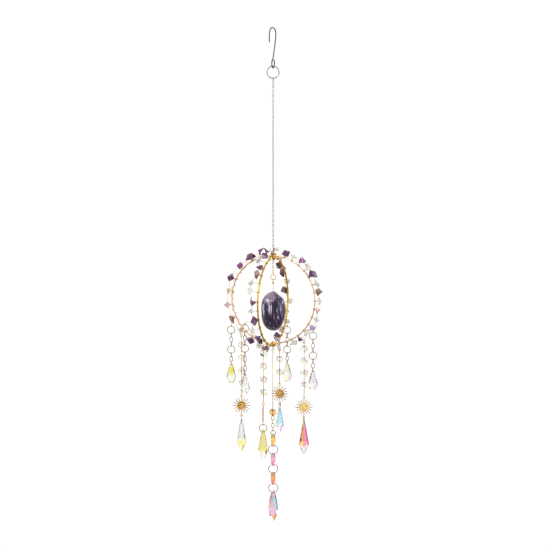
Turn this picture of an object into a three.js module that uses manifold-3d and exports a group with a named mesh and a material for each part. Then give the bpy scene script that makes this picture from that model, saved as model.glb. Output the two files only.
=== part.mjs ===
// Crystal suncatcher: a globe of two crossing wire hoops dressed with stone chips, a tumbled stone hung
// inside it, and nine strands of beads, suns and crystal drops below, on a hook, a ring and a chain.
// Millimetres, +Z up, seen from -Y. The origin is the inside top of the hook's crook, where it hangs.
import * as THREE from 'three';
import { ConvexGeometry } from 'three/addons/geometries/ConvexGeometry.js';
import { mergeVertices } from 'three/addons/utils/BufferGeometryUtils.js';
import Module from 'manifold-3d';

const wasm = await Module();
wasm.setup();
const rad = THREE.MathUtils.degToRad;

// Room between pieces that hang in one another.
const GAP = 0.3;

// Hook: a flat bent wire, turned about the vertical. Heights are measured down from the origin.
const HOOK_WIRE = 1.6;
const HOOK_SIDES = 4;
const HOOK_STEPS = 30;
const HOOK_TURN = 60;
const CROOK_RADIUS = 7;
const CROOK_MIDDLE = -1;
const CROOK_LEG = 9.4;
const CROOK_LEG_SPREAD = 0.4;
const HOOK_EYE_DROP = 38.4;
const HOOK_EYE_HALF_WIDTH = 2.9;
const HOOK_EYE_HALF_HEIGHT = 4.9;
const HOOK_EYE_START = 105;
const HOOK_EYE_END = 418;

// Top ring and the fine chain below it.
const TOP_RING_RADIUS = 6.6;
const TOP_RING_WIRE = 1.2;
const CHAIN_LINKS = 24;
const CHAIN_HALF_WIDTH = 0.95;
const CHAIN_WIRE = 0.7;

// Globe: two equal hoops. The narrow-looking one crosses at right angles, one wire and a gap lower.
const GLOBE_DROP = 299;
const GLOBE_TURN = -20;
const HOOP_RADIUS = 49;
const HOOP_WIRE = 2;
const HOOP_STEP = 2.4;
const BINDING_RADIUS = 2.9;
const BINDING_WIRE = 0.8;
const BINDING_SEGMENTS = 8;
const EYE_RADIUS = 1.5;
const EYE_WIRE = 0.8;

// Corners round a hoop and a ring. An eye has four corners and is this much narrower than it is high.
const HOOP_SEGMENTS = 32;
const HOOP_SIDES = 4;
const RING_SEGMENTS = 8;
const EYE_NARROWING = 0.8;

// Garlands: chips threaded on a wire along each half hoop, tied to it by loops round the hoop.
// Kinds run from the top: A amethyst, M magenta, D dark, L lavender, R rose, B brown, Y golden, C clear.
const CHIP_SIZE = { A: 13.5, M: 11, D: 10, L: 12.5, R: 11, B: 12, Y: 10.5, C: 10.5 };
const CHIP_POINTS = 6;
const CHIP_FLATNESS = { x: 0.8, z: 0.72 };
const CHIP_SWELL = { least: 0.86, more: 0.3 };
const CHIP_LEAN_SPREAD = 36;
const CHIP_CLEARANCE = 1.5;
const GARLAND_WIRE = 0.8;
const TIE_RADIUS = 1.95;
const TIE_FIRST = 2;
const TIE_EVERY = 6;
const GARLANDS = [
  { side: 'right', azimuth: 0, kinds: 'ACMCACBCRCLCDC', from: 16, to: 154, roll: 0, clearRoll: 12 },
  { side: 'back', azimuth: 90, kinds: 'ACAACACACRAC', from: 16, to: 160, roll: 68, clearRoll: 12 },
  { side: 'left', azimuth: 180, kinds: 'AAMAYRBCA', from: 13, to: 150, roll: 0, clearRoll: 15 },
  { side: 'front', azimuth: -90, kinds: 'ACABCCACACADCA', from: 14, to: 168, roll: -52, clearRoll: -62 },
];
const CLEAR_CHIP_REACH = { right: 0, back: 0, left: 0, front: 4.5 };

// Where each strand's eye hangs: out from the globe's axis, across it, and above its middle.
const SHORT_EYES = {
  right: { out: 46.9, across: 0, up: -34.3 },
  back: { out: 46.5, across: 0, up: -35 },
  left: { out: 50.2, across: 0, up: -31.6 },
  front: { out: 49, across: -15, up: -23 },
};
const LONG_EYES = {
  right: { out: 36.4, across: 0, up: -45.7 },
  back: { out: 22, across: 0, up: -58.5 },
  left: { out: 37.9, across: 0, up: -41.5 },
  front: { out: 26, across: -2.4, up: -49.2 },
};

// Short strands: ring, links, ring, links and a flat pear drop. The front one has a longer last run.
const RING_RADIUS = 4.2;
const RING_WIRE = 0.9;
const LINK_HALF_WIDTH = 1.8;
const LINK_WIRE = 0.9;
const SHORT_LINK_RUN = 16.2;
const DROP_LINK_RUN = { right: 16, back: 14.2, left: 15.3, front: 27.5 };
const LONGEST_LINK_TRIO = 20;
const PEAR_LENGTH = 22;
const PEAR_HALF_WIDTH = 5.6;
const PEAR_HALF_THICKNESS = 3.3;
const SHORT_TURN = { right: 8, back: -20, left: -6, front: 14 };

// Drops: rings of corners at fractions of the length and of the half width, some turned half a facet.
const PEAR_SIDES = 6;
const PEAR_PROFILE = [
  { down: 0, out: 0.3 },
  { down: 0.36, out: 0.66 },
  { down: 0.68, out: 1 },
  { down: 0.9, out: 0.75 },
  { down: 1, out: 0.3 },
];
const ICICLE_SIDES = 6;
const ICICLE_PROFILE = [
  { down: 0, out: 0.25 },
  { down: 0.62, out: 0.92 },
  { down: 0.7, out: 1, turned: true },
  { down: 1, out: 0.12 },
];
const ALMOND_SIDES = 8;
const ALMOND_PROFILE = [
  { down: 0, out: 0.25 },
  { down: 0.33, out: 0.74, turned: true },
  { down: 0.6, out: 1 },
  { down: 0.86, out: 0.7, turned: true },
  { down: 1, out: 0.25 },
];
const HOLE_RADIUS = 1.45;
const HOLE_SIDES = 4;
const HOLE_DEPTH = 2.3;
const RING_LOW_IN_HOLE = 0.3;

// Long strands: a string of beads, a sun, a ring and an icicle drop.
const BEAD_RADIUS = 4.4;
const BEAD_HALF_HEIGHT = 3.6;
const BEAD_SIDES = 5;
const BEAD_CAP = 0.55;
const BEAD_PITCH = { right: 13.6, back: 14.6, left: 14.6, front: 14.6 };
const FIRST_BEAD = { right: 6.2, back: 9.6, left: 9.6, front: 6.2 };
const LAST_BEAD_TO_SUN = 24.6;
const STRING_WIRE = 0.8;
const STRING_EYE_RADIUS = 1.4;
const BEAD_COUNT = { right: 4, back: 2, left: 4, front: 4 };
const SUN_RAYS = 16;
const SUN_DISC_RADIUS = 4.7;
const SUN_RAY_TIP = 9.6;
const SUN_THICKNESS = 0.9;
const SUN_EYE_AT = 10.7;
const SUN_EYE_RADIUS = 1.3;
const SUN_EYE_WIRE = 0.7;
const SUN_TURN = { right: 6, back: -14, left: 0, front: 86 };
const ICICLE_LENGTH = { right: 36, back: 28, left: 35, front: 35 };
const ICICLE_RADIUS = 5.9;

// Centre strand: a bar, a bead, links, then octagons and rings in turn down to the almond drop.
const CENTRE_BAR = 70.5;
const CENTRE_LINKS = 4;
const CENTRE_LINKS_BELOW_BEAD = 0.8;
const CENTRE_LINK_RUN = 17.3;
const SMALL_RING_RADIUS = 2.7;
const CENTRE_RING_RADIUS = 5.15;
const CENTRE_RING_WIRE = 0.9;
const OCTAGON_RADIUS = 7.3;
const OCTAGON_HOLE_AT = 5.65;
const OCTAGON_HALF_THICKNESS = 2.8;
const OCTAGON_RIM = 0.4;
const OCTAGON_TABLE = 0.5;
const ALMOND_LENGTH = 35;
const ALMOND_HALF_WIDTH = 5.9;

// Tumbled stone inside the globe.
const STONE_LINKS = 4;
const STONE_LINK_RUN = 16.4;
const STONE_RING_RADIUS = 2.9;
const STONE_PIN_LENGTH = 12;
const STONE_PIN_IN_STONE = 5;
const STONE_HALF_WIDTH = 13.8;
const STONE_HALF_THICKNESS = 12;
const STONE_HALF_HEIGHT = 21.4;
const STONE_LUMP = 0.032;
const STONE_TAPER = 0.07;

const METAL = {
  hook: { color: 0x8a6a5c, roughness: 0.4, metalness: 0.9 },
  silver: { color: 0xb9b4b0, roughness: 0.3, metalness: 0.9 },
  chain: { color: 0xc39b93, roughness: 0.4, metalness: 0.9 },
  gold: { color: 0xc9993f, roughness: 0.3, metalness: 0.9 },
};
const STONE = {
  amethyst: { color: 0x3a1f52, roughness: 0.25, metalness: 0 },
  chips: { color: 0x8d6fa5, roughness: 0.3, metalness: 0 },
};
const CRYSTAL = {
  yellow: { color: 0xf2e27a, roughness: 0.05, metalness: 0 },
  clear: { color: 0xeef2ee, roughness: 0.05, metalness: 0 },
  rose: { color: 0xf0a9c0, roughness: 0.05, metalness: 0 },
  orange: { color: 0xf09a6a, roughness: 0.05, metalness: 0 },
};

// Repeatable scatter between 0 and 1.
function scatter(seed) {
  const wave = Math.sin(seed * 12.9898) * 43758.5453;
  return wave - Math.floor(wave);
}

function solidOf(geometry) {
  const bare = geometry.clone();
  bare.deleteAttribute('normal');
  bare.deleteAttribute('uv');
  const merged = mergeVertices(bare, 1e-4);
  const vertProperties = Float32Array.from(merged.attributes.position.array);
  const triVerts = Uint32Array.from(merged.index.array);
  return new wasm.Manifold(new wasm.Mesh({ numProp: 3, vertProperties, triVerts }));
}

function geometryOf(solid) {
  const { vertProperties, triVerts } = solid.getMesh();
  const geometry = new THREE.BufferGeometry();
  geometry.setAttribute('position', new THREE.BufferAttribute(vertProperties, 3));
  geometry.setIndex(new THREE.BufferAttribute(triVerts, 1));
  geometry.computeVertexNormals();
  return geometry;
}

function fuse(geometries) {
  return geometryOf(geometries.map(solidOf).reduce((whole, part) => whole.add(part)));
}

function cut(geometry, tools) {
  return geometryOf(tools.map(solidOf).reduce((whole, tool) => whole.subtract(tool), solidOf(geometry)));
}

// A round wire loop standing in the XZ plane, with a corner at its top and its bottom.
function loop(radius, wire, segments, sides = 3) {
  return new THREE.TorusGeometry(radius, wire / 2, sides, segments).rotateZ(Math.PI / 2).rotateX(Math.PI / 2);
}

// A four-cornered wire link standing in the XZ plane.
function link(halfLength, halfWidth, wire) {
  const corner = halfWidth * Math.SQRT2;
  const geometry = new THREE.TorusGeometry(corner, wire / 2, 3, 4).rotateZ(Math.PI / 4);
  const position = geometry.attributes.position;
  for (let i = 0; i < position.count; i += 1) {
    position.setY(i, position.getY(i) + Math.sign(position.getY(i)) * (halfLength - halfWidth));
  }
  return geometry.rotateX(Math.PI / 2);
}

function wireEye(radius, wire) {
  return link(radius, EYE_NARROWING * radius, wire);
}

// Links that grip one another, each turned a quarter from the last, from z = 0 down to -span.
function linkRun(span, count, halfWidth, wire, firstTurn) {
  const grip = wire / 4;
  const pitch = (span - grip) / count;
  const halfLength = (pitch + grip) / 2;
  const links = [];
  for (let i = 0; i < count; i += 1) {
    const turned = link(halfLength, halfWidth, wire).rotateZ(firstTurn + (i * Math.PI) / 2);
    links.push(turned.translate(0, 0, -halfLength - i * pitch));
  }
  return fuse(links);
}

// A straight wire between two points.
function rod(from, to, wire, sides = 3) {
  const run = new THREE.Vector3().subVectors(to, from);
  const geometry = new THREE.CylinderGeometry(wire / 2, wire / 2, run.length(), sides);
  const up = new THREE.Vector3(0, 1, 0);
  geometry.applyQuaternion(new THREE.Quaternion().setFromUnitVectors(up, run.clone().normalize()));
  return geometry.translate(...new THREE.Vector3().addVectors(from, to).multiplyScalar(0.5));
}

const at = (x, y, z) => new THREE.Vector3(x, y, z);

function ringOfPoints(count, radius, z, turn = 0, flatness = 1) {
  const points = [];
  for (let i = 0; i < count; i += 1) {
    const angle = turn + (i * 2 * Math.PI) / count;
    points.push(at(radius * Math.cos(angle), radius * flatness * Math.sin(angle), z));
  }
  return points;
}

function holeTool(z, alongX) {
  const tool = new THREE.CylinderGeometry(HOLE_RADIUS, HOLE_RADIUS, 4 * OCTAGON_RADIUS, HOLE_SIDES);
  if (alongX) {
    tool.rotateZ(Math.PI / 2);
  }
  return tool.translate(0, 0, z);
}

// How far below the middle of one hanging loop the middle of the next one lies.
function hangs(upperHalf, upperWire, lowerHalf, lowerWire, gap = GAP) {
  return upperHalf + lowerHalf - (upperWire + lowerWire) / 2 - gap;
}

function mesh(name, geometry, look) {
  const piece = new THREE.Mesh(geometry, new THREE.MeshStandardMaterial(look));
  piece.name = name;
  return piece;
}

function placed(piece, z, turn = 0) {
  piece.position.z = z;
  piece.rotation.z = turn;
  return piece;
}

function hookGeometry() {
  const points = [];
  const crookZ = HOOK_WIRE / 2 - CROOK_RADIUS;
  points.push(at(CROOK_MIDDLE - CROOK_RADIUS - CROOK_LEG_SPREAD, 0, crookZ - CROOK_LEG));
  for (let angle = 180; angle >= 0; angle -= 20) {
    const x = CROOK_MIDDLE + CROOK_RADIUS * Math.cos(rad(angle));
    points.push(at(x, 0, crookZ + CROOK_RADIUS * Math.sin(rad(angle))));
  }
  for (let angle = HOOK_EYE_START; angle <= HOOK_EYE_END; angle += (HOOK_EYE_END - HOOK_EYE_START) / 10) {
    const x = HOOK_EYE_HALF_WIDTH * Math.cos(rad(angle));
    points.push(at(x, 0, HOOK_EYE_HALF_HEIGHT * Math.sin(rad(angle)) - HOOK_EYE_DROP));
  }
  const corners = ringOfPoints(HOOK_SIDES, HOOK_WIRE / 2, 0).map((p) => new THREE.Vector2(p.x, p.y));
  const section = new THREE.Shape(corners);
  const extrudePath = new THREE.CatmullRomCurve3(points, false, 'centripetal');
  return new THREE.ExtrudeGeometry(section, { steps: HOOK_STEPS, extrudePath });
}

// Lashing laid slantwise round both hoops where they cross, with the eyes above and below it.
function bindingGeometry(eyes) {
  const loops = [loop(BINDING_RADIUS, BINDING_WIRE, BINDING_SEGMENTS).rotateZ(Math.PI / 4)];
  const eyeAt = BINDING_RADIUS + EYE_RADIUS;
  for (const eye of eyes) {
    loops.push(wireEye(EYE_RADIUS, EYE_WIRE).rotateZ(rad(eye.turn)).translate(0, 0, eye.sign * eyeAt));
  }
  return fuse(loops);
}

// Corner points of one irregular chip about its own middle.
function chipCorners(seed, size) {
  const corners = [];
  const golden = Math.PI * (3 - Math.sqrt(5));
  for (let i = 0; i < CHIP_POINTS; i += 1) {
    const height = 1 - (2 * i + 1) / CHIP_POINTS;
    const around = golden * i + 2 * Math.PI * scatter(seed + 0.1);
    const girth = Math.sqrt(1 - height * height);
    const reach = (size / 2) * (CHIP_SWELL.least + CHIP_SWELL.more * scatter(seed + i));
    const x = girth * Math.cos(around) * CHIP_FLATNESS.x;
    corners.push(at(x, girth * Math.sin(around), height * CHIP_FLATNESS.z).multiplyScalar(reach));
  }
  return corners;
}

// Chips of one garland in its hoop's own plane: x out, y across, z up from the hoop's middle.
function chipsOf({ side, kinds, from, to, roll, clearRoll }, garlandIndex) {
  return [...kinds].map((kind, i) => {
    const seed = 17 * garlandIndex + 3 * i + 1;
    const polar = rad(from + ((to - from) * i) / (kinds.length - 1));
    const clear = kind === 'C';
    const lean = rad((clear ? clearRoll : roll) + CHIP_LEAN_SPREAD * (scatter(seed + 0.5) - 0.5));
    const radial = at(Math.sin(polar), 0, Math.cos(polar));
    const away = radial.clone().multiplyScalar(Math.cos(lean)).add(at(0, Math.sin(lean), 0));
    const tangent = at(Math.cos(polar), 0, -Math.sin(polar));
    const sideways = new THREE.Vector3().crossVectors(away, tangent);
    const frame = new THREE.Matrix4().makeBasis(away, tangent, sideways);
    const spin = new THREE.Matrix4().makeRotationX(2 * Math.PI * scatter(seed + 0.7));
    const corners = chipCorners(seed, CHIP_SIZE[kind]).map((corner) => corner.applyMatrix4(spin));
    const low = Math.min(...corners.map((corner) => corner.x));
    const distance = CHIP_CLEARANCE - low + (clear ? CLEAR_CHIP_REACH[side] : 0);
    const middle = radial.multiplyScalar(HOOP_RADIUS).addScaledVector(away, distance);
    const placedCorners = corners.map((corner) => corner.applyMatrix4(frame).add(middle));
    return { middle, away, polar, corners: placedCorners };
  });
}

// A loop tied round the hoop at a chip, and the wire from it into the chip.
function tie(chip) {
  const ring = link(TIE_RADIUS, TIE_RADIUS, GARLAND_WIRE).rotateX(Math.PI / 2);
  ring.rotateY(chip.polar + Math.PI / 2);
  const hoopPoint = at(Math.sin(chip.polar), 0, Math.cos(chip.polar)).multiplyScalar(HOOP_RADIUS);
  const foot = hoopPoint.clone().addScaledVector(chip.away, TIE_RADIUS);
  return [ring.translate(...hoopPoint), rod(foot, chip.middle, GARLAND_WIRE)];
}

// An eye for a strand on a wire from the nearest chip above it.
function strandEye(eye, chips, hoopMiddle, turn) {
  const middle = at(eye.out, eye.across, eye.up - hoopMiddle);
  const above = chips.filter((chip) => chip.middle.z > middle.z + 2 * EYE_RADIUS);
  const farness = (chip) => chip.middle.distanceTo(middle);
  const nearest = above.reduce((a, b) => (farness(a) < farness(b) ? a : b));
  const top = middle.clone().add(at(0, 0, EYE_RADIUS));
  const ring = wireEye(EYE_RADIUS, EYE_WIRE).rotateZ(turn).translate(...middle);
  return [ring, rod(top, nearest.middle, GARLAND_WIRE)];
}

function garlandGeometry(garland, index, hoopMiddle) {
  const chips = chipsOf(garland, index);
  const pieces = chips.map((chip) => new ConvexGeometry(chip.corners));
  for (let i = 1; i < chips.length; i += 1) {
    pieces.push(rod(chips[i - 1].middle, chips[i].middle, GARLAND_WIRE));
  }
  for (let i = TIE_FIRST; i < chips.length; i += TIE_EVERY) {
    pieces.push(...tie(chips[i]));
  }
  const faceOn = rad(-GLOBE_TURN - garland.azimuth);
  const edgeOn = faceOn + Math.PI / 2;
  const { side } = garland;
  pieces.push(...strandEye(SHORT_EYES[side], chips, hoopMiddle, edgeOn + rad(SHORT_TURN[side])));
  pieces.push(...strandEye(LONG_EYES[side], chips, hoopMiddle, faceOn + rad(SUN_TURN[side])));
  return fuse(pieces);
}

// A faceted drop hung by its hole at z = 0.
function dropGeometry(profile, sides, length, halfWidth, flatness, holeAlongX) {
  const points = profile.flatMap(({ down, out, turned }) => {
    const turn = turned ? Math.PI / sides : 0;
    return ringOfPoints(sides, halfWidth * out, HOLE_DEPTH - length * down, turn, flatness);
  });
  return cut(new ConvexGeometry(points), [holeTool(0, holeAlongX)]);
}

function pearGeometry() {
  const flatness = PEAR_HALF_THICKNESS / PEAR_HALF_WIDTH;
  return dropGeometry(PEAR_PROFILE, PEAR_SIDES, PEAR_LENGTH, PEAR_HALF_WIDTH, flatness, false);
}

function icicleGeometry(length) {
  const radius = (ICICLE_RADIUS * length) / ICICLE_LENGTH.left;
  return dropGeometry(ICICLE_PROFILE, ICICLE_SIDES, length, radius, 1, true);
}

function almondGeometry() {
  return dropGeometry(ALMOND_PROFILE, ALMOND_SIDES, ALMOND_LENGTH, ALMOND_HALF_WIDTH, 1, true);
}

// Faceted octagon bead seen edge-on, with a hole near its top and its bottom edge.
function octagonGeometry() {
  const eighth = Math.PI / 8;
  const rim = OCTAGON_RIM * OCTAGON_HALF_THICKNESS;
  const table = OCTAGON_TABLE * OCTAGON_RADIUS;
  const points = [
    ...ringOfPoints(8, OCTAGON_RADIUS, rim, eighth),
    ...ringOfPoints(8, OCTAGON_RADIUS, -rim, eighth),
    ...ringOfPoints(8, table, OCTAGON_HALF_THICKNESS, eighth),
    ...ringOfPoints(8, table, -OCTAGON_HALF_THICKNESS, eighth),
  ];
  const standing = new ConvexGeometry(points).rotateY(Math.PI / 2);
  return cut(standing, [holeTool(OCTAGON_HOLE_AT, true), holeTool(-OCTAGON_HOLE_AT, true)]);
}

function beadGeometry() {
  const points = [
    ...ringOfPoints(BEAD_SIDES, BEAD_RADIUS * BEAD_CAP, BEAD_HALF_HEIGHT),
    ...ringOfPoints(BEAD_SIDES, BEAD_RADIUS, 0, Math.PI / BEAD_SIDES),
    ...ringOfPoints(BEAD_SIDES, BEAD_RADIUS * BEAD_CAP, -BEAD_HALF_HEIGHT),
  ];
  return new ConvexGeometry(points);
}

// Beads on one wire with an eye at each end, from the top eye's middle at z = 0.
function beadStringGeometry(side, bottomEye) {
  const pieces = [
    wireEye(STRING_EYE_RADIUS, STRING_WIRE),
    wireEye(STRING_EYE_RADIUS, STRING_WIRE).translate(0, 0, -bottomEye),
    rod(at(0, 0, -STRING_EYE_RADIUS), at(0, 0, STRING_EYE_RADIUS - bottomEye), STRING_WIRE),
  ];
  for (let i = 0; i < BEAD_COUNT[side]; i += 1) {
    pieces.push(beadGeometry().translate(0, 0, -FIRST_BEAD[side] - i * BEAD_PITCH[side]));
  }
  return fuse(pieces);
}

// A flat sun in the XZ plane with an eye on its top and bottom ray.
function sunGeometry() {
  const outline = [];
  for (let i = 0; i < 2 * SUN_RAYS; i += 1) {
    const angle = (i * Math.PI) / SUN_RAYS;
    const radius = i % 2 === 0 ? SUN_RAY_TIP : SUN_DISC_RADIUS;
    outline.push(new THREE.Vector2(radius * Math.cos(angle), radius * Math.sin(angle)));
  }
  const depth = SUN_THICKNESS;
  const plate = new THREE.ExtrudeGeometry(new THREE.Shape(outline), { depth, bevelEnabled: false });
  plate.translate(0, 0, -depth / 2).rotateX(Math.PI / 2);
  const eyeAt = (z) => wireEye(SUN_EYE_RADIUS, SUN_EYE_WIRE).translate(0, 0, z);
  return fuse([plate, eyeAt(SUN_EYE_AT), eyeAt(-SUN_EYE_AT)]);
}

function stoneGeometry() {
  const geometry = new THREE.IcosahedronGeometry(1, 2);
  const position = geometry.attributes.position;
  for (let i = 0; i < position.count; i += 1) {
    const p = at(position.getX(i), position.getY(i), position.getZ(i));
    const broadLump = STONE_LUMP * Math.sin(3.1 * p.x + 1.3) * Math.cos(2.7 * p.y - 0.6);
    const lump = 1 + broadLump + STONE_LUMP * Math.sin(4.3 * p.z + p.x);
    const egg = 1 - STONE_TAPER * p.z;
    const size = at(STONE_HALF_WIDTH * egg, STONE_HALF_THICKNESS * egg, STONE_HALF_HEIGHT);
    p.multiplyScalar(lump).multiply(size);
    position.setXYZ(i, p.x, p.y, p.z);
  }
  return geometry;
}

function stonePinGeometry() {
  const foot = at(0, 0, -STONE_PIN_LENGTH - STONE_PIN_IN_STONE);
  return fuse([wireEye(EYE_RADIUS, EYE_WIRE), rod(at(0, 0, -EYE_RADIUS), foot, EYE_WIRE, 4)]);
}

// Hook, ring and chain down to the globe's top eye.
function suspension() {
  const group = new THREE.Group();
  const eyeBottom = -HOOK_EYE_DROP - HOOK_EYE_HALF_HEIGHT;
  const ringZ = eyeBottom - hangs(0, HOOK_WIRE, TOP_RING_RADIUS, TOP_RING_WIRE, 2 * GAP);
  const chainTop = ringZ - hangs(TOP_RING_RADIUS, TOP_RING_WIRE, 0, CHAIN_WIRE);
  const globeEyeTop = -GLOBE_DROP + HOOP_RADIUS - HOOP_STEP / 2 + BINDING_RADIUS + 2 * EYE_RADIUS;
  const chainBottom = globeEyeTop + hangs(0, CHAIN_WIRE, 0, EYE_WIRE);
  const chain = linkRun(chainTop - chainBottom, CHAIN_LINKS, CHAIN_HALF_WIDTH, CHAIN_WIRE, Math.PI / 2);
  group.add(placed(mesh('hook', hookGeometry(), METAL.hook), 0, rad(HOOK_TURN)));
  const topRing = loop(TOP_RING_RADIUS, TOP_RING_WIRE, 2 * RING_SEGMENTS);
  group.add(placed(mesh('top_ring', topRing, METAL.silver), ringZ));
  group.add(placed(mesh('chain', chain, METAL.chain), chainTop));
  return group;
}

// Hoops, lashings and garlands.
function globe() {
  const group = new THREE.Group();
  const hoop = () => loop(HOOP_RADIUS, HOOP_WIRE, HOOP_SEGMENTS, HOOP_SIDES);
  const middle = HOOP_RADIUS - HOOP_STEP / 2;
  const edgeOn = 90 - GLOBE_TURN;
  const topEyes = [{ sign: 1, turn: edgeOn }, { sign: -1, turn: edgeOn }];
  const bottomEyes = [{ sign: -1, turn: edgeOn }];
  group.add(mesh('hoop_wide', hoop(), METAL.gold));
  group.add(placed(mesh('hoop_narrow', hoop(), METAL.gold), -HOOP_STEP, Math.PI / 2));
  group.add(placed(mesh('top_binding', bindingGeometry(topEyes), METAL.gold), middle));
  group.add(placed(mesh('bottom_binding', bindingGeometry(bottomEyes), METAL.gold), -middle - HOOP_STEP));
  GARLANDS.forEach((garland, index) => {
    const hoopMiddle = garland.azimuth % 180 === 0 ? 0 : -HOOP_STEP;
    const piece = mesh(`garland_${garland.side}`, garlandGeometry(garland, index, hoopMiddle), STONE.chips);
    group.add(placed(piece, hoopMiddle, rad(garland.azimuth)));
  });
  return group;
}

// The tumbled stone on its pin, ring and short chain, below the globe's top lashing.
function hangingStone() {
  const group = new THREE.Group();
  const eyeBottom = HOOP_RADIUS - HOOP_STEP / 2 - BINDING_RADIUS - 2 * EYE_RADIUS;
  const runTop = eyeBottom - hangs(0, EYE_WIRE, 0, CHAIN_WIRE);
  const runBottom = runTop - STONE_LINK_RUN;
  const run = linkRun(STONE_LINK_RUN, STONE_LINKS, CHAIN_HALF_WIDTH, CHAIN_WIRE, 0);
  const ringZ = runBottom - hangs(0, CHAIN_WIRE, STONE_RING_RADIUS, EYE_WIRE);
  const pinZ = ringZ - hangs(STONE_RING_RADIUS, EYE_WIRE, EYE_RADIUS, EYE_WIRE);
  const stoneTop = pinZ - STONE_PIN_LENGTH;
  const boreRadius = EYE_WIRE / 2 + GAP;
  const bore = new THREE.CylinderGeometry(boreRadius, boreRadius, 4 * STONE_PIN_IN_STONE, 6);
  bore.rotateX(Math.PI / 2).translate(0, 0, STONE_HALF_HEIGHT + STONE_PIN_IN_STONE - GAP);
  group.add(placed(mesh('stone_chain', run, METAL.gold), runTop));
  const ring = loop(STONE_RING_RADIUS, EYE_WIRE, RING_SEGMENTS);
  group.add(placed(mesh('stone_ring', ring, METAL.gold), ringZ));
  group.add(placed(mesh('stone_pin', stonePinGeometry(), METAL.gold), pinZ, Math.PI / 2));
  const stone = mesh('amethyst_stone', cut(stoneGeometry(), [bore]), STONE.amethyst);
  group.add(placed(stone, stoneTop - STONE_HALF_HEIGHT));
  return group;
}

// Hangs a group at an eye of the globe, turned to face the front whatever the globe's turn is.
function atEye(group, eye, azimuth, turn = 0) {
  const spot = at(eye.out, eye.across, 0).applyAxisAngle(at(0, 0, 1), rad(azimuth));
  group.position.set(spot.x, spot.y, eye.up);
  group.rotation.z = rad(turn - GLOBE_TURN);
  return group;
}

function shortStrand(side, dropLook) {
  const group = new THREE.Group();
  const name = (part) => `short_${side}_${part}`;
  const ring = () => loop(RING_RADIUS, RING_WIRE, RING_SEGMENTS);
  const upper = -hangs(EYE_RADIUS, EYE_WIRE, RING_RADIUS, RING_WIRE);
  const linksTop = upper - hangs(RING_RADIUS, RING_WIRE, 0, LINK_WIRE);
  const links = linkRun(SHORT_LINK_RUN, 3, LINK_HALF_WIDTH, LINK_WIRE, Math.PI / 2);
  const lower = linksTop - SHORT_LINK_RUN - hangs(0, LINK_WIRE, RING_RADIUS, RING_WIRE);
  const dropLinksTop = lower - hangs(RING_RADIUS, RING_WIRE, 0, LINK_WIRE);
  const linkCount = DROP_LINK_RUN[side] > LONGEST_LINK_TRIO ? 5 : 3;
  const dropLinks = linkRun(DROP_LINK_RUN[side], linkCount, LINK_HALF_WIDTH, LINK_WIRE, Math.PI / 2);
  group.add(placed(mesh(name('upper_ring'), ring(), METAL.gold), upper));
  group.add(placed(mesh(name('links'), links, METAL.gold), linksTop));
  group.add(placed(mesh(name('lower_ring'), ring(), METAL.gold), lower));
  group.add(placed(mesh(name('drop_links'), dropLinks, METAL.gold), dropLinksTop));
  group.add(placed(mesh(name('drop'), pearGeometry(), dropLook), dropLinksTop - DROP_LINK_RUN[side]));
  return group;
}

function longStrand(side, dropLook) {
  const group = new THREE.Group();
  const name = (part) => `long_${side}_${part}`;
  const sunTurn = rad(SUN_TURN[side]);
  const stringTop = -hangs(EYE_RADIUS, EYE_WIRE, STRING_EYE_RADIUS, STRING_WIRE);
  const lastBead = stringTop - FIRST_BEAD[side] - (BEAD_COUNT[side] - 1) * BEAD_PITCH[side];
  const sunZ = lastBead - LAST_BEAD_TO_SUN;
  const eyesApart = hangs(STRING_EYE_RADIUS, STRING_WIRE, SUN_EYE_RADIUS, SUN_EYE_WIRE);
  const stringBottom = sunZ + SUN_EYE_AT + eyesApart;
  const string = beadStringGeometry(side, stringTop - stringBottom);
  const ringZ = sunZ - SUN_EYE_AT - hangs(SUN_EYE_RADIUS, SUN_EYE_WIRE, RING_RADIUS, RING_WIRE);
  const across = sunTurn + Math.PI / 2;
  group.add(placed(mesh(name('bead_string'), string, CRYSTAL.clear), stringTop, across));
  group.add(placed(mesh(name('sun'), sunGeometry(), METAL.gold), sunZ, sunTurn));
  const ring = loop(RING_RADIUS, RING_WIRE, RING_SEGMENTS);
  group.add(placed(mesh(name('drop_ring'), ring, METAL.gold), ringZ, across));
  const drop = mesh(name('drop'), icicleGeometry(ICICLE_LENGTH[side]), dropLook);
  group.add(placed(drop, ringZ - RING_RADIUS + RING_LOW_IN_HOLE, across));
  return group;
}

// Bar, bead and links of the centre strand, from its top eye's middle at z = 0.
function centreStringGeometry() {
  const bottom = -CENTRE_BAR;
  const beadFoot = bottom - BEAD_HALF_HEIGHT - CENTRE_LINKS_BELOW_BEAD;
  const links = linkRun(CENTRE_LINK_RUN, CENTRE_LINKS, LINK_HALF_WIDTH, LINK_WIRE, 0);
  return fuse([
    wireEye(STRING_EYE_RADIUS, STRING_WIRE),
    rod(at(0, 0, -STRING_EYE_RADIUS), at(0, 0, beadFoot - LINK_WIRE / 4), STRING_WIRE),
    beadGeometry().translate(0, 0, bottom),
    links.translate(0, 0, beadFoot),
  ]);
}

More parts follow.
